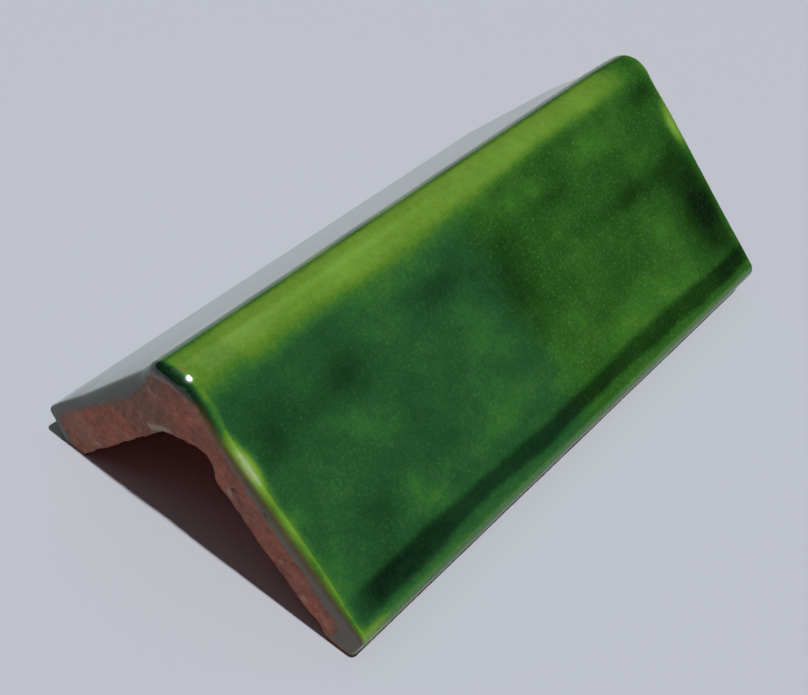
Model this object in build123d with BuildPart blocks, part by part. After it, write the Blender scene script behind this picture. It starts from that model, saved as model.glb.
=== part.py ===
"""V-cap trim tile: one piece of pressed red clay, glazed over its outer faces.

Millimetres and degrees. +Y runs along the crest, +X across the two legs and +Z up.
The origin is on the floor, midway between the legs and midway along the crest.
"""

from build123d import *
import os
from math import cos, radians, sin, tan

os.makedirs("parts", exist_ok=True)

# Driving dimensions of the section
leg_length = 63.5  # outer face, from the line where the two outer faces would meet
wall = 12.7  # thickness of a leg
leg_slope = 44.4  # fall of a leg below the horizontal
crest_radius = 7.94  # round of the outside of the bend
root_radius = 7.0  # round of the inside of the bend
foot_width = 5.5  # flat at the bottom of a leg, on which the tile stands
edge_lean = 25.0  # lean of a leg's lower edge outwards from the vertical
lip_radius = 2.0  # round between a leg's outer face and its lower edge

# Driving dimensions of the length and the ends
crest_length = 152.4
end_rake = 3.6  # lean of each end face, which leaves the feet shorter than the crest
glazed_arris = 1.6  # round of the glaze where it rolls over on to an end face
bare_arris = 0.5  # bevel sponged on the bare clay edges of an end face

# Directions of a leg and of its lower edge
across = cos(radians(leg_slope))
down = sin(radians(leg_slope))
fall = tan(radians(leg_slope))
lean = tan(radians(edge_lean))

# The height at which the inner face, the foot and the leaning edge close on the outer face
closing_width = leg_length * (across + down * lean) + wall / down - foot_width
apex_height = closing_width / (1 / fall + lean)

# Section points, each as (across, up) for the right leg
outer_apex = (0, apex_height)
lip = (leg_length * across, apex_height - leg_length * down)
inner_apex = (0, apex_height - wall / across)
foot_inside = (inner_apex[1] / fall, 0)
foot_outside = (foot_inside[0] + foot_width, 0)


def looks_down(face):
    """True of the bare faces underneath: the hollow's two sides, its root and the feet."""
    return face.normal_at().Z < -0.99 * across


with BuildPart() as tile:
    # The section: right half drawn, mirrored across the crest, and its corners rounded
    with BuildSketch(Plane.XZ) as section:
        with BuildLine():
            Polyline(outer_apex, lip, foot_outside, foot_inside, inner_apex)
            mirror(about=Plane.YZ)
        make_face()
        fillet(section.vertices().sort_by(Axis.Y)[-1], crest_radius)
        fillet(section.vertices().sort_by_distance(inner_apex)[0], root_radius)
        for side in (1, -1):
            fillet(section.vertices().sort_by_distance((side * lip[0], lip[1]))[0], lip_radius)
    extrude(amount=crest_length / 2, both=True)
    crest_top = tile.part.bounding_box().max.Z

    # Each end: cut on its rake, then its glazed edges rounded and its bare edges bevelled
    for end in (1, -1):
        cut = Plane(
            origin=(0, end * crest_length / 2, crest_top),
            x_dir=(1, 0, 0),
            z_dir=(0, end * cos(radians(end_rake)), -sin(radians(end_rake))),
        )
        split(bisect_by=cut, keep=Keep.BOTTOM)
        glazed_edges = tile.faces().filter_by(cut).edges() - tile.faces().filter_by(looks_down).edges()
        fillet(glazed_edges, glazed_arris)
        bare_edges = tile.faces().filter_by(cut).edges() & tile.faces().filter_by(looks_down).edges()
        chamfer(bare_edges, bare_arris)

tile.part.label = "v_cap_tile"
export_step(tile.part, "parts/v_cap_tile.step")
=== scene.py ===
"""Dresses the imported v-cap trim tile: glazed and bare clay surfaces, floor, light and camera."""

import math

import bpy
import numpy as np
from mathutils import Matrix, Vector


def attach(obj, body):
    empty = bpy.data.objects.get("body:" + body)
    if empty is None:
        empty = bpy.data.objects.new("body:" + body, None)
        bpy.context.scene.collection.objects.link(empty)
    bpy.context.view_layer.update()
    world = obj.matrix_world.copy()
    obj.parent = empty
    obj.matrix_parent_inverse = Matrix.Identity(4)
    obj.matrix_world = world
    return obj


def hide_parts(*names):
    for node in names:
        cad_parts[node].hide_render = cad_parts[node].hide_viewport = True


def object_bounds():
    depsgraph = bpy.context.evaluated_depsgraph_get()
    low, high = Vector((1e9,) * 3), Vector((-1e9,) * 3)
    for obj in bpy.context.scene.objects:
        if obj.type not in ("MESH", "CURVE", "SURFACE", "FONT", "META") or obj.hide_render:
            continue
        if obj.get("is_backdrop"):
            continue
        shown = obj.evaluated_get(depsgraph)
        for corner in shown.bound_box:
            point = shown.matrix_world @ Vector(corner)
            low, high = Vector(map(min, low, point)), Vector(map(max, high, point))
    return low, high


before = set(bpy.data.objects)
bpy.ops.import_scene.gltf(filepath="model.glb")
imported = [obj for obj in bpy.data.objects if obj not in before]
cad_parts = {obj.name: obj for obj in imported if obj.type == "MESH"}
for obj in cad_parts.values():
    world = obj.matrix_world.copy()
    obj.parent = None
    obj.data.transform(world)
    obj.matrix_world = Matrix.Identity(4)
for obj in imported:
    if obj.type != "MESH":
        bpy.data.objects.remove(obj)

bl_info = {
    "name": "V-cap trim tile",
    "version": (1, 0, 0),
    "blender": (4, 5, 0),
    "location": "View3D > Sidebar > Trim tile",
    "description": "Builds a glazed v-cap trim tile and the stage that it stands on",
    "category": "Object",
}

NODE = "v_cap_tile"
CAD_LOW, CAD_HIGH = (tuple(corner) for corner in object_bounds())
MM = 0.001
PHOTO_WIDTH = 808
COLOUR = {"subtype": "COLOR", "size": 3, "min": 0, "max": 1}

# Relief of the skin, in millimetres
FINE_ROUGHNESS = 0.10
BROAD_ROUGHNESS = 0.13
CLAY_SINK = 0.05
GLAZE_WAVE = 0.035
PIT_DEPTH = 0.35


class TileSize(bpy.types.PropertyGroup):
    """Sizes of the fired clay body."""

    crest_length: bpy.props.FloatProperty(
        name="Crest length", description="Length of the tile along its crest",
        default=152.4 * MM, unit="LENGTH")
    leg_length: bpy.props.FloatProperty(
        name="Leg length", description="Outer face of a leg, from where both outer faces would meet",
        default=63.5 * MM, unit="LENGTH")
    wall: bpy.props.FloatProperty(
        name="Wall", description="Thickness of a leg", default=12.7 * MM, unit="LENGTH")
    leg_slope: bpy.props.FloatProperty(
        name="Leg slope", description="Fall of a leg below the horizontal",
        default=math.radians(44.4), unit="ROTATION")
    crest_radius: bpy.props.FloatProperty(
        name="Crest radius", description="Round of the outside of the bend",
        default=7.94 * MM, unit="LENGTH")
    root_radius: bpy.props.FloatProperty(
        name="Root radius", description="Round of the inside of the bend",
        default=7.0 * MM, unit="LENGTH")
    foot_width: bpy.props.FloatProperty(
        name="Foot width", description="Flat on which a leg stands", default=5.5 * MM, unit="LENGTH")
    edge_lean: bpy.props.FloatProperty(
        name="Edge lean", description="Lean of a leg's lower edge outwards from the vertical",
        default=math.radians(25.0), unit="ROTATION")
    lip_radius: bpy.props.FloatProperty(
        name="Lip radius", description="Round between the outer face and the lower edge",
        default=2.9 * MM, unit="LENGTH")
    left_lip_radius: bpy.props.FloatProperty(
        name="Left lip radius", description="That round on the left leg, which is sharper",
        default=1.4 * MM, unit="LENGTH")
    heel_radius: bpy.props.FloatProperty(
        name="Heel radius", description="Round between the lower edge and the foot",
        default=0.9 * MM, unit="LENGTH")
    toe_radius: bpy.props.FloatProperty(
        name="Toe radius", description="Round between the foot and the hollow",
        default=0.5 * MM, unit="LENGTH")
    end_rake: bpy.props.FloatProperty(
        name="End rake", description="Lean of each end face", default=math.radians(3.6), unit="ROTATION")
    glazed_arris: bpy.props.FloatProperty(
        name="Glazed arris", description="Round of the glaze at an end of a leg",
        default=2.1 * MM, unit="LENGTH")
    crest_arris: bpy.props.FloatProperty(
        name="Crest arris", description="What the glaze's round gains beside the crest",
        default=1.6 * MM, unit="LENGTH")
    left_arris: bpy.props.FloatProperty(
        name="Left arris", description="What the glaze's round gains half way down the left leg",
        default=0.5 * MM, unit="LENGTH")
    tip_arris: bpy.props.FloatProperty(
        name="Tip arris", description="What the glaze's round loses at the legs' lower edges",
        default=0.9 * MM, unit="LENGTH")
    far_share: bpy.props.FloatProperty(
        name="Far share", description="Share of the glaze's round that the far end has", default=0.45)
    bare_arris: bpy.props.FloatProperty(
        name="Bare arris", description="Round of the bare clay edge of an end",
        default=0.25 * MM, unit="LENGTH")
    bead_radius: bpy.props.FloatProperty(
        name="Bead radius", description="Half width of the bead of glaze on the crest's near end",
        default=1.10 * MM, unit="LENGTH")
    bead_bend: bpy.props.FloatProperty(
        name="Bead bend", description="Radius of that bead's shallow dome",
        default=19.0 * MM, unit="LENGTH")
    bead_middle: bpy.props.FloatVectorProperty(
        name="Bead middle", description="Top of that bead",
        default=(3.60 * MM, -73.55 * MM, 48.943 * MM), subtype="TRANSLATION", size=3)
    bead_azimuth: bpy.props.FloatProperty(
        name="Bead azimuth", description="Where the bead faces, turning from the near end to the right",
        default=math.radians(61.5), unit="ROTATION")
    bead_elevation: bpy.props.FloatProperty(
        name="Bead elevation", description="Height at which the bead faces", default=math.radians(56.6),
        unit="ROTATION")
    near_sag: bpy.props.FloatProperty(
        name="Near sag", description="How low the left leg's outer face lies at the near end",
        default=0.95 * MM, unit="LENGTH")
    far_sag: bpy.props.FloatProperty(
        name="Far sag", description="How low that face lies at the far end, just below the crest",
        default=1.00 * MM, unit="LENGTH")
    sag_run: bpy.props.FloatProperty(
        name="Sag run", description="How far from an end its sag fades to a third",
        default=7.0 * MM, unit="LENGTH")
    glaze_lift: bpy.props.FloatProperty(
        name="Glaze lift", description="Height of the glaze above the clay beside it",
        default=0.16 * MM, unit="LENGTH")


class TileLook(bpy.types.PropertyGroup):
    """Colours and finish of the glaze and of the clay."""

    # The palest glaze colour also shows the painted highlights on the near right arris.
    pale_glaze_and_highlight: bpy.props.FloatVectorProperty(
        name="Pale glaze", description="Where the glaze is hardly there, on the sharpest arrises",
        default=(0.34, 0.42, 0.20), **COLOUR)
    thin_glaze: bpy.props.FloatVectorProperty(
        name="Thin glaze", description="Where the glaze is so thin that the clay brightens it",
        default=(0.17, 0.33, 0.045), **COLOUR)
    crest_glaze: bpy.props.FloatVectorProperty(
        name="Crest glaze", description="The yellow green along the crest",
        default=(0.118, 0.240, 0.024), **COLOUR)
    light_glaze: bpy.props.FloatVectorProperty(
        name="Light glaze", description="The lighter green of the legs",
        default=(0.040, 0.140, 0.014), **COLOUR)
    face_glaze: bpy.props.FloatVectorProperty(
        name="Face glaze", description="The middle green of the legs",
        default=(0.019, 0.084, 0.010), **COLOUR)
    deep_glaze: bpy.props.FloatVectorProperty(
        name="Deep glaze", description="The dark green where the glaze has pooled",
        default=(0.009, 0.042, 0.005), **COLOUR)
    pool_glaze: bpy.props.FloatVectorProperty(
        name="Pool glaze", description="The thickest glaze, almost black",
        default=(0.003, 0.012, 0.003), **COLOUR)
    glaze_roughness: bpy.props.FloatProperty(
        name="Glaze roughness", description="Roughness of the glaze", default=0.09, min=0, max=1)
    clay_red: bpy.props.FloatVectorProperty(
        name="Red clay", description="The body of the clay",
        default=(0.42, 0.125, 0.070), **COLOUR)
    clay_hollow: bpy.props.FloatVectorProperty(
        name="Hollow clay", description="The clean clay inside the hollow",
        default=(0.50, 0.098, 0.074), **COLOUR)
    clay_grey: bpy.props.FloatVectorProperty(
        name="Grey clay", description="Clay that the fire has left grey brown",
        default=(0.27, 0.128, 0.078), **COLOUR)
    run_over_left: bpy.props.FloatVectorProperty(
        name="Left run-over", description="The thin grey green glaze on the left leg's end",
        default=(0.029, 0.042, 0.018), **COLOUR)
    run_over_right: bpy.props.FloatVectorProperty(
        name="Right run-over", description="The thin grey brown glaze on the right leg's end",
        default=(0.072, 0.056, 0.012), **COLOUR)
    run_over_roughness: bpy.props.FloatProperty(
        name="Run-over roughness", description="Roughness of the thin dry glaze on the ends",
        default=0.42, min=0, max=1)
    clay_roughness: bpy.props.FloatProperty(
        name="Clay roughness", description="Roughness of the bare clay", default=0.85, min=0, max=1)


class StageLook(bpy.types.PropertyGroup):
    """The floor, the light and the camera."""

    floor_colour: bpy.props.FloatVectorProperty(
        name="Floor colour", description="The pale floor",
        default=(0.51, 0.53, 0.585), **COLOUR)
    floor_width: bpy.props.FloatProperty(
        name="Floor width", description="Side of the square floor", default=6.0, unit="LENGTH")
    key_azimuth: bpy.props.FloatProperty(
        name="Key azimuth", description="Where the key light stands, turning from the near end to the right",
        default=math.radians(81.8), unit="ROTATION")
    key_elevation: bpy.props.FloatProperty(
        name="Key elevation", description="Height of the key light above the horizon",
        default=math.radians(68), unit="ROTATION")
    key_strength: bpy.props.FloatProperty(
        name="Key strength", description="Strength of the key light", default=3.02, min=0)
    key_spread: bpy.props.FloatProperty(
        name="Key spread", description="Angle that the key light fills, which softens its shadows",
        default=math.radians(1.2), unit="ROTATION")
    sky_colour: bpy.props.FloatVectorProperty(
        name="Sky colour", description="The dim soft light from all round",
        default=(0.0188, 0.0194, 0.0200), **COLOUR)
    backdrop_colour: bpy.props.FloatVectorProperty(
        name="Backdrop colour", description="The pale wall that is seen behind the floor",
        default=(0.51, 0.53, 0.585), **COLOUR)
    backdrop_top: bpy.props.FloatProperty(
        name="Backdrop top", description="Elevation at which its mirror image has faded into the sky",
        default=math.radians(4), unit="ROTATION")
    overhead_width: bpy.props.FloatProperty(
        name="Overhead width", description="Side of the soft square lamp overhead",
        default=2.4, unit="LENGTH")
    overhead_height: bpy.props.FloatProperty(
        name="Overhead height", description="Height of that lamp", default=2.0, unit="LENGTH")
    overhead_power: bpy.props.FloatProperty(
        name="Overhead power", description="Power of that lamp", default=6.0, min=0)
    camera_azimuth: bpy.props.FloatProperty(
        name="Camera azimuth", description="Where the camera stands, turning from the near end to the right",
        default=math.radians(38.207), unit="ROTATION")
    camera_elevation: bpy.props.FloatProperty(
        name="Camera elevation", description="Height of the camera above the horizon",
        default=math.radians(42.329), unit="ROTATION")
    camera_roll: bpy.props.FloatProperty(
        name="Camera roll", description="Turn of the camera about its own line of sight",
        default=math.radians(2.732), unit="ROTATION")
    camera_distance: bpy.props.FloatProperty(
        name="Camera distance", description="From the camera to the point that it looks at",
        default=279.31 * MM, unit="LENGTH")
    camera_target: bpy.props.FloatVectorProperty(
        name="Camera target", description="The point that the camera looks at",
        default=(3.422 * MM, -13.081 * MM, 15.154 * MM), subtype="TRANSLATION", size=3)
    focal_pixels: bpy.props.FloatProperty(
        name="Focal length", description="Focal length in pixels of the photograph", default=1263.9)


def smooth(low, high, value):
    """Smoothstep: 0 below low, 1 above high, and 3f^2 - 2f^3 of the fraction f between them."""
    fraction = np.clip((value - low) / (high - low), 0, 1)
    return fraction * fraction * (3 - 2 * fraction)


def bell(value, centre, width):
    """Gaussian: e to the power of minus the squared distance from the centre in widths."""
    return np.exp(-(((value - centre) / width) ** 2))


def direction(azimuth, elevation):
    """Unit vector towards a place at that azimuth, from -Y towards +X, and elevation."""
    flat = math.cos(elevation)
    return Vector((math.sin(azimuth) * flat, -math.cos(azimuth) * flat, math.sin(elevation)))


def hashed(cells, seed):
    """One even number from 0 to 1 for each whole-numbered cell: its three numbers, each times a
    large prime, are mixed by exclusive or and by multiplying, and cut to 32 bits."""
    x, y, z = (cells[:, axis].astype(np.uint64) for axis in range(3))
    mixed = x * np.uint64(73856093) ^ y * np.uint64(19349663) ^ z * np.uint64(83492791)
    mixed = (mixed + np.uint64(seed * 2654435761)) & np.uint64(0xFFFFFFFF)
    for shift, factor in ((16, 2246822507), (13, 3266489909)):
        mixed = ((mixed ^ (mixed >> np.uint64(shift))) * np.uint64(factor)) & np.uint64(0xFFFFFFFF)
    return (mixed ^ (mixed >> np.uint64(16))) / 2.0 ** 32


def cloud(points, cell, seed, octaves=1):
    """Value noise from -1 to 1: in each cubic cell the eight corners' hashed values are mixed by the
    smoothstep of the point's place in it, and each octave has half the cell and half the height."""
    total = np.zeros(len(points))
    for octave in range(octaves):
        place = points / (cell / 2 ** octave) + 1000.5
        base = np.floor(place).astype(np.int64)
        part = place - base
        part = part * part * (3 - 2 * part)
        for corner in np.ndindex(2, 2, 2):
            share = np.prod(np.where(corner, part, 1 - part), axis=1)
            total += (2 * hashed(base + corner, seed + octave) - 1) * share * 0.5 ** octave
    return total


def corner_points(size):
    """The section's eight sharp corners, clockwise from the top, as (across, up)."""
    across, down = math.cos(size.leg_slope), math.sin(size.leg_slope)
    fall, lean = math.tan(size.leg_slope), math.tan(size.edge_lean)
    closing = size.leg_length * (across + down * lean) + size.wall / down - size.foot_width
    apex = closing / (1 / fall + lean)
    lip = (size.leg_length * across, apex - size.leg_length * down)
    root = apex - size.wall / across
    toe = root / fall
    right = [lip, (toe + size.foot_width, 0), (toe, 0)]
    left = [(-x, z) for x, z in reversed(right)]
    return np.array([(0, apex), *right, (0, root), *left])


def rounded_outline(corners, radii, steps=33):
    """Closed outline whose corners are arcs tangent to both sides. An arc of radius r, where the
    outline turns by a, starts r tan(a/2) before its corner and turns about the point r to the side."""
    before = corners - np.roll(corners, 1, axis=0)
    before /= np.linalg.norm(before, axis=1)[:, None]
    after = np.roll(before, -1, axis=0)
    turn = np.arctan2(before[:, 0] * after[:, 1] - before[:, 1] * after[:, 0], (before * after).sum(1))
    start = corners - before * (radii * np.tan(abs(turn) / 2))[:, None]
    side = np.stack([-before[:, 1], before[:, 0]], 1) * np.sign(turn)[:, None]
    centre = start + side * radii[:, None]
    angle = turn[:, None] * np.linspace(0, 1, steps)
    spoke = (start - centre)[:, None, :]
    cos, sin = np.cos(angle)[..., None], np.sin(angle)[..., None]
    crossed = np.stack([-spoke[..., 1], spoke[..., 0]], -1)
    return centre[:, None, :] + spoke * cos + crossed * sin


def evenly(points, count):
    """The same line drawn again with count points spaced evenly along it."""
    along = np.concatenate([[0], np.cumsum(np.linalg.norm(np.diff(points, axis=0), axis=1))])
    wanted = np.linspace(0, along[-1], count)
    return np.stack([np.interp(wanted, along, points[:, axis]) for axis in range(2)], 1)


class Section:
    """The tile's section as four sides, outer, right edge, inner and left edge, and where they are."""

    def __init__(self, size, along_count, deep_count):
        self.size = size
        corners = corner_points(size)
        radii = np.array([size.crest_radius, size.lip_radius, size.heel_radius, size.toe_radius,
                          size.root_radius, size.toe_radius, size.heel_radius, size.left_lip_radius])
        arcs = rounded_outline(corners, radii)
        line = arcs.reshape(-1, 2)
        half, steps = arcs.shape[1] // 2, arcs.shape[1]
        cuts = [corner * steps + half for corner in (7, 1, 3, 5)]
        line = np.roll(line, -cuts[0], axis=0)
        cuts = [(cut - cuts[0]) % len(line) for cut in cuts] + [len(line)]
        line = np.vstack([line, line[:1]])
        counts = (along_count, deep_count, along_count, deep_count)
        sides = [evenly(line[a:b + 1], count) for a, b, count in zip(cuts, cuts[1:], counts)]
        self.counts = counts
        self.loop = np.vstack([side[:-1] for side in sides])
        self.apex = corners[0, 1]
        self.crest_centre = self.apex - size.crest_radius / math.cos(size.leg_slope)
        self.crest_top = self.crest_centre + size.crest_radius

    def outward(self):
        """Unit normals of the loop, at right angles to the line through each point's neighbours."""
        tangent = np.roll(self.loop, -1, axis=0) - np.roll(self.loop, 1, axis=0)
        tangent /= np.linalg.norm(tangent, axis=1)[:, None]
        return np.stack([-tangent[:, 1], tangent[:, 0]], 1)

    def side_share(self):
        """For each loop point, 1 on the glazed outer side, 0 on the inner side, and between them on
        the lower edges by how far along the edge the point is."""
        along, deep = self.counts[0] - 1, self.counts[1] - 1
        fade = np.linspace(1, 0, deep, endpoint=False)
        return np.concatenate([np.ones(along), fade, np.zeros(along), 1 - fade])

    def unrolled(self, x, z):
        """Distance from the crest's middle along the outer face, left of it negative, and depth
        below that face. Within the crest they are the angle times the radius and the radius left."""
        size = self.size
        across, down = math.cos(size.leg_slope), math.sin(size.leg_slope)
        angle = np.arctan2(abs(x), z - self.crest_centre)
        in_crest = angle < size.leg_slope
        arc = size.crest_radius * size.leg_slope
        tangent_at = size.crest_radius * math.tan(size.leg_slope)
        leg = abs(x) * across + (self.apex - z) * down - tangent_at + arc
        along = np.where(in_crest, size.crest_radius * angle, leg)
        from_centre = np.hypot(x, z - self.crest_centre)
        below_leg = (self.apex - z) * across - abs(x) * down
        depth = np.where(in_crest, size.crest_radius - from_centre, below_leg)
        return along * np.sign(x), depth


def edge_distance(size, apex, x, z):
    """How far inside the leaning lower edge a point is: its distance from the line through the lip
    at that edge's lean from the vertical."""
    lip_x = size.leg_length * math.cos(size.leg_slope)
    lip_z = apex - size.leg_length * math.sin(size.leg_slope)
    return (lip_x - abs(x)) * math.cos(size.edge_lean) - (lip_z - z) * math.sin(size.edge_lean)


def filled(boundary, counts):
    """Coons patch: inside a closed loop of four sides, the sum of the two ruled surfaces between
    facing sides less the bilinear one through the four corners. Returns the grid and, for its rim,
    each point's place in the loop."""
    along, deep = counts[0], counts[1]
    total = len(boundary)
    outer = np.arange(along)
    right = np.arange(along - 1, along + deep - 1)
    inner = np.arange(along + deep - 2, 2 * along + deep - 2)[::-1]
    left = np.arange(2 * along + deep - 3, total + 1)[::-1] % total
    v, u = np.meshgrid(np.linspace(0, 1, deep), np.linspace(0, 1, along), indexing="ij")
    u, v = u[..., None], v[..., None]
    top, bottom = boundary[outer][None], boundary[inner][None]
    west, east = boundary[left][:, None], boundary[right][:, None]
    flat = ((1 - v) * ((1 - u) * top[:, :1] + u * top[:, -1:])
            + v * ((1 - u) * bottom[:, :1] + u * bottom[:, -1:]))
    grid = (1 - v) * top + v * bottom + (1 - u) * west + u * east - flat
    places = np.full((deep, along), -1)
    places[0], places[-1], places[:, 0], places[:, -1] = outer, inner, left, right
    return grid, places


def quads(grid):
    """The four-cornered faces between neighbours of a grid of vertex numbers."""
    return np.stack([grid[:-1, :-1], grid[:-1, 1:], grid[1:, 1:], grid[1:, :-1]], -1).reshape(-1, 4)


def end_radii(section, end):
    """Radius at which each loop point rounds over on to an end face: the glaze's round, which is
    larger beside the crest and on the left leg, smaller at the tips and at the far end, falls to the
    bare clay's, whose raggedness is value noise."""
    size = section.size
    along, _ = section.unrolled(section.loop[:, 0], section.loop[:, 1])
    glazed = size.glazed_arris + size.crest_arris * bell(along, 9 * MM, 6 * MM)
    glazed = glazed + size.left_arris * bell(along, -20 * MM, 14 * MM)
    glazed = glazed - size.tip_arris * smooth(44 * MM, 58 * MM, abs(along))
    glazed = glazed * (1.0 if end < 0 else size.far_share)
    spots = np.column_stack([section.loop / MM, np.full(len(section.loop), end * 7.0)])
    ragged = 1 + 2.0 * np.clip(cloud(spots, 2.2, 11, 2), -0.4, 1)
    share = smooth(0, 1, section.side_share())
    return share * glazed + (1 - share) * size.bare_arris * ragged


def sag(section, y):
    """How far each loop point lies inside the straight section: between the crest and the lip of the
    left leg the near and the far sag, each times e to the minus the distance from its end in runs."""
    size = section.size
    along, _ = section.unrolled(section.loop[:, 0], section.loop[:, 1])
    outer = smooth(0.5, 1, section.side_share())
    low = smooth(-5 * MM, -14 * MM, along) * smooth(-58 * MM, -42 * MM, along)
    near = size.near_sag * low * np.exp(-(y + size.crest_length / 2) / size.sag_run)
    far = size.far_sag * bell(along, -14 * MM, 11 * MM) * np.exp((y - size.crest_length / 2) / size.sag_run)
    return outer * (near + far)


# Clay broken from the near end at the root, in millimetres: places across the tile, how far up
# the break reaches there above the whole surface, and how far along the tile it runs in
BREAK_PLACES = (-5.0, -2.0, 0.0, 3.0, 5.5, 7.3, 8.6, 9.0)
BREAK_RISES = (0.0, -0.7, -0.4, 0.9, 3.0, 4.6, 3.4, 0.0)
BREAK_RUN = 4.0


def broken_away(section, from_end):
    """Rise of each inner loop point where clay is broken from the near end: the break's outline,
    read between its chosen places, times a smoothstep that ends where the break runs out."""
    x = section.loop[:, 0] / MM
    spots = np.column_stack([section.loop / MM, from_end / MM])
    rise = np.interp(x, BREAK_PLACES, BREAK_RISES) * (section.side_share() == 0)
    rise = rise * (1 + 0.12 * cloud(spots, 2.0, 71, 2))
    return rise * MM * smooth(BREAK_RUN, 0.6, from_end / MM)


def body_surface(section, round_steps=15, stations=58):
    """The whole closed skin. Side: the section's loop carried along the crest. Near an end the loop
    shrinks by r(1 - cos a) while it moves on to r(1 - sin a) from the end's plane, a quarter round.
    End: a Coons patch inside the last loop. The end planes lean, so y depends on height. Returns
    points, faces and each point's share of the outer side, which is 1 inside the ends."""
    size = section.size
    outward, rake = section.outward(), math.tan(size.end_rake)
    angles = np.linspace(math.pi / 2, 0, round_steps)
    rings = []

    def ring(end, radius, angle):
        place = section.loop - outward * (radius * (1 - math.cos(angle)))[:, None]
        reach = size.crest_length / 2 - (section.crest_top - place[:, 1]) * rake
        return np.column_stack([place[:, 0], end * (reach - radius * (1 - math.sin(angle))), place[:, 1]])

    def worn(ring_points):
        leaning = (section.crest_top - ring_points[:, 2]) * rake
        from_end = ring_points[:, 1] + size.crest_length / 2 - leaning
        moved = ring_points + np.outer(broken_away(section, from_end), (0, 0, 1))
        moved[:, [0, 2]] -= outward * sag(section, ring_points[:, 1])[:, None]
        return moved

    near_radius, far_radius = end_radii(section, -1), end_radii(section, 1)
    near = [ring(-1, near_radius, angle) for angle in angles]
    far = [ring(1, far_radius, angle) for angle in angles[::-1]]
    even = np.linspace(-1, 1, stations)
    steps = 0.5 + 0.5 * (0.20 * even + 0.80 * np.sin(even * math.pi / 2))
    rings = near + [near[-1] * (1 - step) + far[0] * step for step in steps[1:-1]] + far
    side = np.stack([worn(points) for points in rings])
    count = side.shape[1]
    numbers = np.arange(side.shape[0] * count).reshape(side.shape[0], count)
    wrapped = np.hstack([numbers, numbers[:, :1]])
    points, faces = [side.reshape(-1, 3)], [quads(wrapped)]
    shares = [np.tile(section.side_share(), side.shape[0])]
    used = numbers.size
    for first_ring, end in ((0, -1), (side.shape[0] - 1, 1)):
        grid, places = filled(side[first_ring], section.counts)
        inside = places < 0
        patch = np.where(inside, 0, numbers[first_ring][np.maximum(places, 0)])
        patch[inside] = used + np.arange(inside.sum())
        used += inside.sum()
        points.append(grid[inside])
        shares.append(np.ones(inside.sum()))
        faces.append(quads(patch) if end > 0 else quads(patch)[:, ::-1])
    return np.vstack(points), np.vstack(faces), np.concatenate(shares)


def new_mesh(name, points, faces):
    """A smooth-shaded mesh object from arrays of points and four-cornered faces."""
    mesh = bpy.data.meshes.new(name)
    mesh.vertices.add(len(points))
    mesh.vertices.foreach_set("co", points.astype(np.float32).ravel())
    mesh.loops.add(faces.size)
    mesh.loops.foreach_set("vertex_index", faces.astype(np.int32).ravel())
    mesh.polygons.add(len(faces))
    mesh.polygons.foreach_set("loop_start", np.arange(0, faces.size, faces.shape[1], dtype=np.int32))
    mesh.polygons.foreach_set("use_smooth", np.ones(len(faces), dtype=bool))
    mesh.update(calc_edges=True)
    mesh.validate()
    piece = bpy.data.objects.new(name, mesh)
    bpy.context.scene.collection.objects.link(piece)
    return piece


def vertex_normals(mesh):
    """The mesh's unit vertex normals as an array."""
    normals = np.zeros(len(mesh.vertices) * 3, np.float32)
    mesh.vertex_normals.foreach_get("vector", normals)
    return normals.reshape(-1, 3).astype(float)


def store(mesh, name, values):
    """Keeps one number for each vertex as a named attribute."""
    attribute = mesh.attributes.new(name, "FLOAT", "POINT")
    attribute.data.foreach_set("value", values.astype(np.float32))


# Where the glaze has pooled or run thin on the right leg, in millimetres: along the crest from the
# middle, down from the crest's middle, half length, half width, and how much thicker the glaze is
RIGHT_POOLS = (
    (-66, 20, 7, 8, 0.18),
    (-46, 21, 8, 5, 0.22),
    (-47, 13, 5, 5, 0.05),
    (-15, 17.5, 8, 3.2, 0.20),
    (-24, 15, 6, 1.5, 0.05),
    (-55, 45, 6, 4, 0.10),
    (-45, 38, 8, 8, 0.06),
    (-71, 11, 4, 5, 0.10),
    (-16.8, 13.7, 0.8, 0.7, -0.12),
    (4, 24, 8, 9, 0.27),
    (2, 34, 5, 5, 0.08),
    (25, 17, 7, 1.8, 0.15),
    (45, 27, 18, 2.6, 0.17),
    (63, 27, 8, 4, 0.10),
    (68, 40, 8, 14, 0.42),
    (72.8, 19, 1.9, 4.2, -0.26),
    (69, 9, 7, 3, 0.26),
    (50, 18, 10, 2.0, 0.07),
    (-62, 6, 5, 3, 0.05),
    (-24, 11, 7, 3, -0.06),
    (14, 12, 8, 3, -0.08),
    (43, 11, 10, 3, -0.06),
    (20, 25, 7, 2.6, -0.09),
    (22, 34, 9, 4, 0.03),
    (52, 37, 7, 4, -0.11),
    (32, 50, 20, 4.5, -0.12),
    (55, 44, 6, 5, -0.06),
    (-36, 47, 13, 4.5, -0.04),
    (-12, 45, 10, 5, -0.04),
    (-67, 50, 5, 4, -0.03),
)

# How far the glaze laps on to the near end, in millimetres, at places along each leg's outer face
LEFT_LAP_AT = (0, 4, 8, 12, 18, 30, 40, 48, 54)
LEFT_LAP = (2.5, 2.1, 1.8, 3.3, 4.0, 3.9, 3.3, 2.7, 2.5)
RIGHT_LAP_AT = (0, 3, 6, 11, 18, 26, 33, 40, 46, 52)
RIGHT_LAP = (2.5, 2.6, 2.3, 1.9, 2.2, 3.0, 3.9, 4.4, 4.3, 4.9)

# How much paler the glaze is painted where it rolls over the near right arris, by place along the leg:
# partly thinner glaze, partly a painted highlight
PALE_RIM_AND_HIGHLIGHT_AT = (0, 10, 14, 17, 20, 25, 28, 32, 37, 43, 52, 57, 60)
PALE_RIM_AND_HIGHLIGHT = (0.0, 0.02, 0.08, 0.28, 0.48, 0.50, 0.30, 0.18, 0.22, 0.13, 0.13, 0.14, 0.30)

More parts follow.
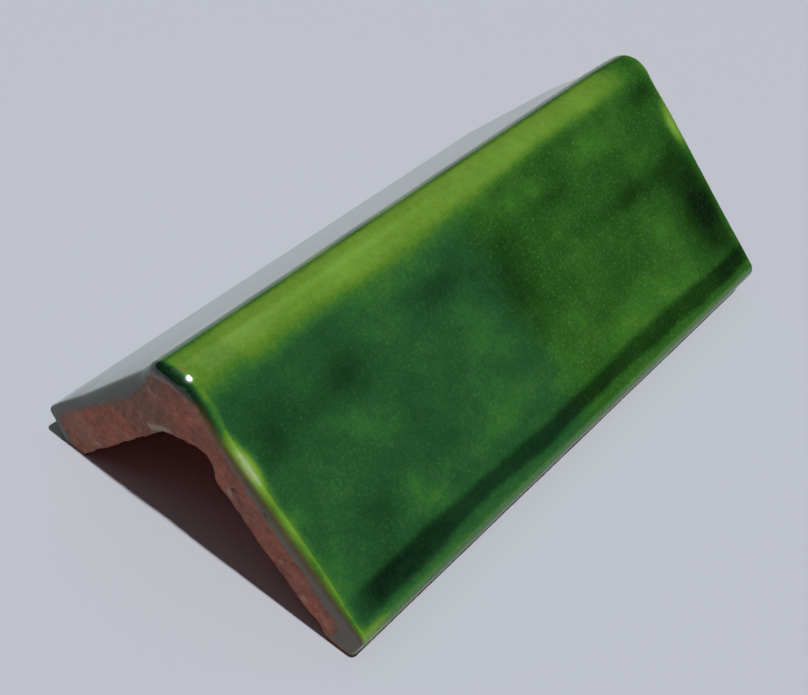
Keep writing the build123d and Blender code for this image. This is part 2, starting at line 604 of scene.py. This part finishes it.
# Marks on the near end, in millimetres: across, up, half width, half height, strength
GREY_CLAY = (
    (-14, 32, 9, 6, 0.7),
    (-6, 38, 5, 6, 0.6),
    (-6.5, 44.5, 5, 3, 1.0),
    (2, 45, 7, 3, 0.4),
    (14, 37, 5, 4, 0.4),
)
PALE_MARKS = (
    (-7.6, 29.7, 1.3, 0.7, 1.0),
    (-5.8, 30.7, 1.4, 0.8, 1.0),
    (-4.0, 31.7, 1.3, 0.7, 1.0),
    (-2.4, 32.6, 1.2, 0.5, 0.7),
    (-17.5, 20.3, 4.0, 0.8, 0.2),
    (12.6, 26.2, 0.8, 1.0, 0.9),
    (9.0, 28.4, 0.5, 1.3, 0.4),
    (29.9, 8.6, 0.8, 0.9, 0.8),
    (-28.6, 9.0, 1.3, 0.5, 0.7),
    (24.6, 15.2, 0.6, 0.6, 0.5),
    (-5.8, 41.5, 0.5, 1.4, 0.35),
    (35.0, 5.6, 1.3, 2.0, 0.30),
    (18.5, 23.0, 1.0, 0.4, 0.3),
    (-35.0, 11.5, 6.0, 6.0, 0.16),
)
# Pits on the near end: sunk a little and painted near black, a painted shade for the dark inside each pit
PITS_WITH_PAINTED_SHADE = ((22.3, 27.8, 0.6, 0.8, 1.0), (13.9, 28.2, 0.7, 0.35, 0.7), (33.0, 20.4, 0.3, 0.4, 0.4))

# Half bare spot in the glaze beside the bead, in millimetres: along the outer face from the
# crest's middle, along the crest, half width and half length
BARE_SPOTS = ((1.7, -73.3, 1.00, 0.90),)

# What a bare spot takes off the glaze's margin, in millimetres
BARE_SPOT_DEPTH = 3.3


def marks(x, z, table):
    """Sum of the table's marks: each is e to the minus the fourth power of the distance from its
    middle, measured in its half sizes, times its strength."""
    total = np.zeros(len(x))
    for across, up, wide, tall, strength in table:
        far = ((x / MM - across) / wide) ** 2 + ((z / MM - up) / tall) ** 2
        total = total + strength * np.exp(-far ** 2)
    return np.clip(total, 0, 1)


def glaze_depth_and_highlight(along, y, from_end, points):
    """How thick the glaze is, from 0 to 1, made lower where highlights are painted. Gaussian bands: thin
    along the crest, thick above the lower edge, thin on the lip and at the ends. To them come the
    pools and value noise."""
    w, y, near_end = along / MM, y / MM, from_end / MM
    wander = 0.7 * cloud(points / MM * (0.3, 1, 0.3), 14, 21, 2)
    a, right = abs(w) + wander, w > 0
    depth = 0.57 + 0.09 * cloud(points / MM, 13, 22, 3) * np.where(right, 0.75, 1.3)
    depth = depth + 0.05 * cloud(points / MM, 4, 26, 2)
    for place, down, long, wide, amount in RIGHT_POOLS:
        depth = depth + np.where(right, amount * bell(y, place, long) * bell(a, down, wide), 0)
    hem = 57.3 + 1.6 * smooth(-35, -50, y) + 0.9 * smooth(10, 45, y)
    hem = hem + 0.7 * cloud(points / MM * (0, 1, 0), 9, 28, 2)
    low = smooth(52.6, 54.6, a) * smooth(hem + 0.9, hem - 0.9, a)
    low = low * (0.25 + 0.03 * smooth(-20, -60, y) + 0.07 * bell(y, 5, 15) + 0.04 * smooth(0, 65, y))
    low = low + 0.12 * bell(a, 54.5, 3.2) * smooth(-38, -58, y)
    depth = depth + low * smooth(-73.5, -64, y)

    # The yellow green band along the crest has a soft lower edge and a darker line to its left
    half = 6.8 + 1.8 * smooth(2, -14, y) - 1.4 * smooth(10, 35, y) - 0.6 * bell(y, -35, 10)
    band = smooth(half + 2.7, half - 2.3, w + wander) * smooth(-4.2, -1.0, w - 0.5 * wander)
    band = band * smooth(74, 58, y) * smooth(-77, -73, y)
    bright = 0.27 + 0.05 * cloud(points / MM, 9, 25, 2) + 0.10 * smooth(4, 8, w)
    bright = bright + 0.05 * smooth(-40, -66, y)
    depth = depth * (1 - band) + band * bright
    depth = depth - 0.16 * bell(w, -5.4, 1.8) * (1 - band) + 0.12 * smooth(0, -20, w) * smooth(-45, -65, y)
    # Painted highlight: a faint paler streak just right of the crest's middle, over its near half.
    depth = depth - 0.07 * bell(w, 1.9, 1.0) * smooth(-70, -62, y) * smooth(5, -20, y)

    # Over the crest's near end the green is darker, further down the right leg than down the left. On
    # the arrises of the legs the glaze is thin
    crest_end = smooth(np.where(right, 17.5, 10.0), np.where(right, 12.0, 6.0), a)
    crest_end = crest_end * smooth(2.6, 1.3, near_end + 0.10 * np.clip(a - 7, 0, 9)) * (y < 0)
    depth = depth + 0.50 * crest_end
    wide = 1.2 * bell(a, 22, 6)
    rim = smooth(3.4 + wide, 1.0 + wide, near_end + 0.4 * cloud(points / MM, 6, 27, 2))
    # The paler rim on the near right arris is partly thinner glaze and partly a painted highlight.
    thin = np.where(right & (y < 0), np.interp(abs(w), PALE_RIM_AND_HIGHLIGHT_AT, PALE_RIM_AND_HIGHLIGHT), 0.12 + 0 * w)
    thin = thin + np.where(right & (y > 0), 0.15 * bell(a, 20, 6) + 0.08 * bell(a, 46, 6), 0)
    depth = depth - thin * rim * (1 - crest_end)
    lip = smooth(hem, hem + 1.8, a)
    at_lip = 0.56 - 0.10 * smooth(59, 61, a) - 0.16 * smooth(-64, -70, y) * right
    depth = depth * (1 - lip) + lip * at_lip
    return np.clip(depth, 0, 1)


def lap_reach(along, points):
    """How far, in millimetres, the glaze laps on to an end face, by the place along the outer edge."""
    w = along / MM
    left, right = np.interp(-w, LEFT_LAP_AT, LEFT_LAP), np.interp(w, RIGHT_LAP_AT, RIGHT_LAP)
    return np.where(w < 0, left, right) + 0.40 * cloud(points / MM, 3.2, 31, 3)


def store_finish(mesh, section, points, share):
    """Keeps on the mesh where the glaze ends, how thick it is with its painted highlights, and the marks on
    the clay, among them pits painted dark for their shade. The glaze ends at a distance in from the outer
    face and the lower edge, whose lesser is rounded off, and just above the foot, and no point with no share
    of the outer side has any. Returns the signed distance in millimetres, positive where there is glaze."""
    size = section.size
    x, y, z = points.T
    along, below = section.unrolled(x, z)
    inside_edge = edge_distance(size, section.apex, x, z) / MM
    from_end = size.crest_length / 2 - (section.crest_top - z) * math.tan(size.end_rake) - abs(y)
    normals = vertex_normals(mesh)
    facing_end = abs(normals[:, 1])

    reach = lap_reach(along, points)
    inward = -1.2 * np.log(np.exp(-below / MM / 1.2) + np.exp(-(inside_edge - 0.4) / 1.2))
    above_foot = (z / MM - 1.0 - 0.5 * cloud(points / MM, 5, 33, 2)) * 1.5
    on_end = np.minimum(reach - inward, np.where(abs(along) > 50 * MM, above_foot, 3))
    on_side = np.where((normals[:, 2] > -0.62) & (share > 0), np.minimum(above_foot, 3), -3)
    margin = np.clip(np.where(facing_end > 0.5, on_end, on_side), -3, 3)
    for place, down, wide, long in BARE_SPOTS:
        spot = bell(along / MM, place, wide) * bell(y / MM, down, long)
        margin = margin - BARE_SPOT_DEPTH * spot * (facing_end < 0.5)

    near = (y < 0) & (facing_end > 0.3)
    on_near_end = lambda table: np.where(near, marks(x, z, table), 0)
    store(mesh, "glaze_margin", margin)
    depth = glaze_depth_and_highlight(along, y, from_end, points)
    # Painted highlight: a thin paler line where the glaze rolls over the near right arris at the near end.
    arris = smooth(0.04, 0.14, facing_end) * smooth(0.42, 0.24, facing_end)
    depth = depth - 0.11 * arris * smooth(5.5, 8, along / MM) * (y < 0)
    store(mesh, "glaze_depth_and_highlight", np.clip(depth, 0, 1))
    rolled = np.where(x < 0, smooth(0.12, 0.60, facing_end), smooth(0.45, 0.88, facing_end))
    store(mesh, "run_over", rolled * smooth(5, 13, abs(along / MM)))
    store(mesh, "cool_tint", smooth(6, -8, y / MM + 3 * cloud(points / MM, 12, 41, 2)))
    store(mesh, "right_leg", smooth(-3, 3, x / MM))
    store(mesh, "grey_clay", on_near_end(GREY_CLAY))
    store(mesh, "hollow", (share == 0) & (facing_end < 0.5))
    store(mesh, "pale_marks", on_near_end(PALE_MARKS))
    store(mesh, "pit_painted_shade", on_near_end(PITS_WITH_PAINTED_SHADE))
    return margin


def add_bead(points, size):
    """Sets the small bead of glaze on the crest's near end: a point within its half width of its
    middle is raised, the way that the bead faces, to a shallow dome, whose fall is the squared
    distance over twice its bend. The rise fades with a smoothstep over as much again."""
    facing = np.array(direction(size.bead_azimuth, size.bead_elevation))
    offset = points - np.array(size.bead_middle)
    height = offset @ facing
    beside = np.linalg.norm(offset - np.outer(height, facing), axis=1)
    inside = smooth(size.bead_radius * 2.0, size.bead_radius * 1.1, beside)
    inside = inside * (abs(height) < size.bead_radius)
    dome = -(beside ** 2) / (2 * size.bead_bend)
    return points + np.outer(np.maximum(dome - height, 0) * inside, facing)


def roughen(mesh, section, points, margin):
    """Moves the skin in and out: the glaze lies above the clay and is a little wavy, the bare clay
    is rough, the pits are sunk and the bead is set."""
    lift_of_glaze = section.size.glaze_lift / MM
    spots, normals = points / MM, vertex_normals(mesh)
    glazed = smooth(-0.9, 0.9, margin)
    rough = FINE_ROUGHNESS * cloud(spots, 1.3, 51, 3) + BROAD_ROUGHNESS * cloud(spots, 4.5, 52, 2)
    wavy = GLAZE_WAVE * cloud(spots, 16, 53, 2)
    near = (points[:, 1] < 0) & (abs(normals[:, 1]) > 0.3)
    pits = np.where(near, marks(points[:, 0], points[:, 2], PITS_WITH_PAINTED_SHADE), 0)
    lift = glazed * (lift_of_glaze + wavy) + (1 - glazed) * (rough - CLAY_SINK)
    lift = lift - lift_of_glaze - PIT_DEPTH * pits
    moved = add_bead(points + normals * (lift * MM)[:, None], section.size)
    moved = np.clip(moved, CAD_LOW, CAD_HIGH)
    mesh.vertices.foreach_set("co", moved.astype(np.float32).ravel())
    mesh.update()


class TRIMTILE_OT_tile(bpy.types.Operator):
    """Make the tile: its section carried along the crest, with glaze and bare clay."""

    bl_idname = "trimtile.tile"
    bl_label = "Make the tile"

    def execute(self, context):
        size, look = context.scene.tile_size, context.scene.tile_look
        section = Section(size, along_count=360, deep_count=36)
        points, faces, share = body_surface(section)
        piece = new_mesh("glazed_tile", points, faces)
        margin = store_finish(piece.data, section, points, share)
        roughen(piece.data, section, points, margin)
        piece.data.materials.append(tile_material(look))
        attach(piece, "root")
        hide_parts(NODE)
        return {"FINISHED"}


class Nodes:
    """Short calls for building a material's node tree."""

    def __init__(self, material):
        material.use_nodes = True
        self.tree = material.node_tree
        self.tree.nodes.clear()

    def add(self, kind, **settings):
        """A node of that kind with its properties and unlinked inputs set."""
        node = self.tree.nodes.new(kind)
        for key, value in settings.items():
            if key in node.inputs:
                node.inputs[key].default_value = value
            else:
                setattr(node, key, value)
        return node

    def link(self, source, node, socket):
        """Joins an output to a node's input."""
        self.tree.links.new(source, node.inputs[socket])

    def attribute(self, name):
        """The number that the mesh keeps under that name."""
        return self.add("ShaderNodeAttribute", attribute_name=name).outputs["Fac"]

    def put(self, value, socket):
        """Joins an output to a socket, or sets it to a number or a colour."""
        if isinstance(value, bpy.types.NodeSocket):
            self.tree.links.new(value, socket)
        elif isinstance(value, (int, float)):
            socket.default_value = value
        else:
            socket.default_value = (*value, 1)

    def math(self, operation, *values, clamp=False):
        """A sum with two or three numbers or outputs, held between 0 and 1 where clamp says so."""
        node = self.add("ShaderNodeMath", operation=operation, use_clamp=clamp)
        for place, value in enumerate(values):
            self.put(value, node.inputs[place])
        return node.outputs[0]

    def ramp(self, source, stops):
        """A colour ramp with stops as (place, colour)."""
        node = self.add("ShaderNodeValToRGB")
        elements = node.color_ramp.elements
        while len(elements) < len(stops):
            elements.new(0.5)
        for element, (place, colour) in zip(elements, stops):
            element.position = place
            element.color = (*colour, 1)
        self.link(source, node, "Fac")
        return node.outputs["Color"]

    def mix(self, share, first, second, blend_type="MIX"):
        """Mixes two colours, each an output or a triple."""
        node = self.add("ShaderNodeMix", data_type="RGBA", blend_type=blend_type)
        for place, value in (("Factor", share), (6, first), (7, second)):
            self.put(value, node.inputs[place])
        return node.outputs[2]

    def between(self, share, first, second):
        """The first number turned into the second by a share: first + share (second - first)."""
        node = self.add("ShaderNodeMix", data_type="FLOAT")
        for place, value in ((0, share), (2, first), (3, second)):
            self.put(value, node.inputs[place])
        return node.outputs[0]

    def noise(self, where, scale, detail=3, roughness=0.5):
        """Noise texture on object coordinates, its scale in features per metre."""
        node = self.add("ShaderNodeTexNoise", Scale=scale, Detail=detail, Roughness=roughness)
        self.link(where, node, "Vector")
        return node.outputs["Fac"]


def specks(nodes, where, scale, size, seed_share):
    """Pale pinpricks: in each Voronoi cell a soft dot, whose strength is the cell's own random
    colour above a share, so that some cells have none."""
    cells = nodes.add("ShaderNodeTexVoronoi", Scale=scale, Randomness=1.0)
    nodes.link(where, cells, "Vector")
    dot = nodes.math("SUBTRACT", 1.0, nodes.math("DIVIDE", cells.outputs["Distance"], size), clamp=True)
    parts = nodes.add("ShaderNodeSeparateColor")
    nodes.link(cells.outputs["Color"], parts, "Color")
    strength = nodes.math("SUBTRACT", parts.outputs[0], seed_share, clamp=True)
    return nodes.math("MULTIPLY", dot, strength)


def glaze_colour(nodes, where, look):
    """Green by thickness, paler where highlights are painted, clouded by fine noise, cooler at one end, with
    pale pinprick bubbles.
    """
    uneven = nodes.math("MULTIPLY", nodes.math("SUBTRACT", nodes.noise(where, 420, 5, 0.65), 0.5), 0.16)
    grain = nodes.math("MULTIPLY", nodes.math("SUBTRACT", nodes.noise(where, 1500, 2, 0.5), 0.5), 0.14)
    depth = nodes.math("ADD", nodes.attribute("glaze_depth_and_highlight"), nodes.math("ADD", uneven, grain))
    # The low end of this ramp shows painted highlights as well as thin glaze.
    stops = ((0.0, look.pale_glaze_and_highlight), (0.14, look.thin_glaze), (0.29, look.crest_glaze),
             (0.45, look.light_glaze), (0.58, look.face_glaze), (0.78, look.deep_glaze),
             (1.0, look.pool_glaze))
    green = nodes.ramp(depth, stops)
    cool = nodes.mix(nodes.attribute("cool_tint"), (1.0, 1.0, 1.0), (0.87, 0.97, 2.15))
    deep = nodes.ramp(depth, ((0.38, (0, 0, 0)), (0.54, (1, 1, 1))))
    green = nodes.mix(deep, green, nodes.mix(1.0, green, cool, "MULTIPLY"))
    coarse = nodes.math("MULTIPLY", specks(nodes, where, 1150, 0.46, 0.30), 0.55)
    tiny = nodes.math("MULTIPLY", specks(nodes, where, 2300, 0.55, 0.10), 0.36)
    fewer = nodes.math("SUBTRACT", 1.0, nodes.math("MULTIPLY", nodes.attribute("cool_tint"), 0.5))
    pale = nodes.math("MULTIPLY", nodes.math("ADD", coarse, tiny), fewer, clamp=True)
    shown = nodes.ramp(depth, ((0.62, (1, 1, 1)), (0.80, (0.3, 0.3, 0.3))))
    return nodes.mix(nodes.math("MULTIPLY", pale, shown), green, (0.11, 0.27, 0.09))


def clay_colour(nodes, where, look):
    """Red clay clouded with grey, with grains and slanting scratches in it, and the marks on the near
    end, among them pits painted near black as painted shade."""
    broad = nodes.ramp(nodes.noise(where, 110, 3), ((0.36, (0, 0, 0)), (0.70, (1, 1, 1))))
    clay = nodes.mix(nodes.math("MULTIPLY", broad, 0.6), look.clay_red, look.clay_grey)
    clay = nodes.mix(nodes.attribute("grey_clay"), clay, look.clay_grey)
    clay = nodes.mix(nodes.attribute("hollow"), clay, look.clay_hollow)
    grain = nodes.noise(where, 700, 5, 0.75)
    grain = nodes.ramp(grain, ((0.30, (0.62, 0.62, 0.62)), (0.72, (1.34, 1.34, 1.34))))
    clay = nodes.mix(1.0, clay, grain, "MULTIPLY")
    worn = nodes.noise(where, 240, 3, 0.6)
    worn = nodes.ramp(worn, ((0.35, (0.84, 0.86, 0.88)), (0.65, (1.14, 1.12, 1.10))))
    clay = nodes.mix(1.0, clay, worn, "MULTIPLY")
    drawn = nodes.add("ShaderNodeMapping", vector_type="TEXTURE", Rotation=(0, math.radians(-60), 0),
                      Scale=(0.008, 0.0011, 0.0011))
    nodes.link(where, drawn, "Vector")
    scratches = nodes.noise(drawn.outputs["Vector"], 1.0, 3, 0.6)
    scratches = nodes.ramp(scratches, ((0.38, (0.90, 0.90, 0.90)), (0.66, (1.16, 1.17, 1.18))))
    clay = nodes.mix(1.0, clay, scratches, "MULTIPLY")
    flecks = specks(nodes, where, 700, 0.22, 0.72)
    clay = nodes.mix(nodes.math("MULTIPLY", flecks, 2.2, clamp=True), clay, (0.52, 0.38, 0.26))
    uneven = nodes.math("ADD", nodes.noise(where, 1500, 3), 0.35)
    ragged = nodes.math("MULTIPLY", nodes.attribute("pale_marks"), uneven)
    clay = nodes.mix(ragged, clay, (0.50, 0.42, 0.30))
    # Painted shade: the pits are painted near black for the dark inside them.
    return nodes.mix(nodes.attribute("pit_painted_shade"), clay, (0.012, 0.016, 0.012))


def run_over_colour(nodes, where, look):
    """The thin glaze on an end: grey green on the left leg, browner on the right, a little clouded."""
    tint = nodes.mix(nodes.attribute("right_leg"), look.run_over_left, look.run_over_right)
    clouds = nodes.noise(where, 300, 4, 0.6)
    clouds = nodes.ramp(clouds, ((0.3, (0.78, 0.78, 0.78)), (0.7, (1.2, 1.2, 1.2))))
    return nodes.mix(1.0, tint, clouds, "MULTIPLY")


def tile_material(look):
    """Glaze and bare clay in one skin, parted by the signed distance to the glaze's edge."""
    material = bpy.data.materials.new("glazed_clay")
    nodes = Nodes(material)
    where = nodes.add("ShaderNodeTexCoord").outputs["Object"]
    ragged = nodes.math("MULTIPLY", nodes.math("SUBTRACT", nodes.noise(where, 600, 4, 0.6), 0.5), 1.8)
    edge = nodes.math("ADD", nodes.attribute("glaze_margin"), ragged)
    covered = nodes.math("MULTIPLY_ADD", edge, 0.55, 0.5, clamp=True)

    green = glaze_colour(nodes, where, look)
    glaze = nodes.mix(nodes.attribute("run_over"), green, run_over_colour(nodes, where, look))
    clay = clay_colour(nodes, where, look)
    colour = nodes.mix(covered, clay, glaze)

    dry = nodes.between(nodes.attribute("run_over"), look.glaze_roughness, look.run_over_roughness)
    rough = nodes.between(covered, look.clay_roughness, dry)

    grit = nodes.noise(where, 1100, 5, 0.65)
    bump = nodes.add("ShaderNodeBump", Strength=0.55, Distance=0.00025)
    uncovered = nodes.math("SUBTRACT", 1.0, covered)
    nodes.link(nodes.math("MULTIPLY", grit, uncovered), bump, "Height")

    shader = nodes.add("ShaderNodeBsdfPrincipled", IOR=1.5)
    nodes.link(colour, shader, "Base Color")
    nodes.link(rough, shader, "Roughness")
    nodes.link(bump.outputs["Normal"], shader, "Normal")
    out = nodes.add("ShaderNodeOutputMaterial")
    nodes.link(shader.outputs["BSDF"], out, "Surface")
    return material


def make_floor(stage):
    """A large level square at the tile's feet."""
    half = stage.floor_width / 2
    points = np.array([(-half, -half, 0), (half, -half, 0), (half, half, 0), (-half, half, 0)])
    floor = new_mesh("floor", points, np.array([[0, 1, 2, 3]]))
    material = bpy.data.materials.new("floor_paint")
    nodes = Nodes(material)
    shader = nodes.add("ShaderNodeBsdfPrincipled", Roughness=0.9, IOR=1.2)
    shader.inputs["Base Color"].default_value = (*stage.floor_colour, 1)
    nodes.link(shader.outputs["BSDF"], nodes.add("ShaderNodeOutputMaterial"), "Surface")
    floor.data.materials.append(material)
    floor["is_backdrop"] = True


def hang(name, kind, towards, distance):
    """A lamp of that kind, that far from the origin in that direction, and facing the origin."""
    light = bpy.data.lights.new(name, kind)
    lamp = bpy.data.objects.new(name, light)
    lamp.rotation_mode = "QUATERNION"
    lamp.rotation_quaternion = towards.to_track_quat("Z", "Y")
    lamp.location = towards * distance
    bpy.context.scene.collection.objects.link(lamp)
    return light


def make_light(stage):
    """A small distant key light from high on the right and a large soft lamp overhead."""
    key = hang("key", "SUN", direction(stage.key_azimuth, stage.key_elevation), 2.0)
    key.energy = stage.key_strength
    key.angle = stage.key_spread
    overhead = hang("overhead", "AREA", Vector((0, 0, 1)), stage.overhead_height)
    overhead.size = stage.overhead_width
    overhead.energy = stage.overhead_power


def make_sky(stage):
    """A dim even light, and a pale backdrop that lights nothing: the camera sees it at any height,
    and what mirrors it or lets it through shows a strip of it that fades with the height's sine."""
    world = bpy.data.worlds.new("sky")
    bpy.context.scene.world = world
    nodes = Nodes(world)
    way = nodes.add("ShaderNodeSeparateXYZ")
    nodes.link(nodes.add("ShaderNodeTexCoord").outputs["Generated"], way, "Vector")
    top = math.sin(stage.backdrop_top)
    strip = nodes.ramp(way.outputs["Z"], ((top * 0.4, stage.backdrop_colour), (top, stage.sky_colour)))
    path = nodes.add("ShaderNodeLightPath").outputs
    mirrored = nodes.math("MAXIMUM", path["Is Glossy Ray"], path["Is Transmission Ray"])
    sky = nodes.mix(mirrored, stage.sky_colour, strip)
    sky = nodes.mix(path["Is Camera Ray"], sky, stage.backdrop_colour)
    background = nodes.add("ShaderNodeBackground", Strength=1.0)
    nodes.link(sky, background, "Color")
    nodes.link(background.outputs[0], nodes.add("ShaderNodeOutputWorld"), "Surface")


def make_camera(stage):
    """A camera that looks at the target from its azimuth and elevation, rolled about that line."""
    back = direction(stage.camera_azimuth, stage.camera_elevation)
    level = Vector((math.cos(stage.camera_azimuth), math.sin(stage.camera_azimuth), 0))
    upright = back.cross(level)
    cos, sin = math.cos(stage.camera_roll), math.sin(stage.camera_roll)
    right, up = cos * level + sin * upright, cos * upright - sin * level
    place = Vector(stage.camera_target) + back * stage.camera_distance
    camera = bpy.data.cameras.new("camera")
    camera.sensor_fit = "HORIZONTAL"
    camera.lens = camera.sensor_width * stage.focal_pixels / PHOTO_WIDTH
    camera.clip_start, camera.clip_end = 0.01, 20
    camera_object = bpy.data.objects.new("camera", camera)
    camera_object.matrix_world = Matrix((
        (right.x, up.x, back.x, place.x),
        (right.y, up.y, back.y, place.y),
        (right.z, up.z, back.z, place.z),
        (0, 0, 0, 1)))
    bpy.context.scene.collection.objects.link(camera_object)
    bpy.context.scene.camera = camera_object


class TRIMTILE_OT_stage(bpy.types.Operator):
    """Make the floor, the light and the camera."""

    bl_idname = "trimtile.stage"
    bl_label = "Make the stage"

    def execute(self, context):
        stage = context.scene.stage_look
        make_floor(stage)
        make_light(stage)
        make_sky(stage)
        make_camera(stage)
        context.scene.view_settings.view_transform = "Standard"
        return {"FINISHED"}


class TRIMTILE_PT_panel(bpy.types.Panel):
    """Sidebar panel that lists the tile's operators."""

    bl_label = "Trim tile"
    bl_space_type = "VIEW_3D"
    bl_region_type = "UI"
    bl_category = "Trim tile"

    def draw(self, context):
        for operator in OPERATORS:
            self.layout.operator(operator.bl_idname)


GROUPS = {"tile_size": TileSize, "tile_look": TileLook, "stage_look": StageLook}
OPERATORS = (TRIMTILE_OT_tile, TRIMTILE_OT_stage)


def register():
    for name, group in GROUPS.items():
        bpy.utils.register_class(group)
        setattr(bpy.types.Scene, name, bpy.props.PointerProperty(type=group))
    for cls in (*OPERATORS, TRIMTILE_PT_panel):
        bpy.utils.register_class(cls)


def unregister():
    for cls in (TRIMTILE_PT_panel, *reversed(OPERATORS)):
        bpy.utils.unregister_class(cls)
    for name, group in GROUPS.items():
        delattr(bpy.types.Scene, name)
        bpy.utils.unregister_class(group)


def main():
    register()
    bpy.ops.trimtile.tile()
    bpy.ops.trimtile.stage()


if __name__ == "__main__":
    main()
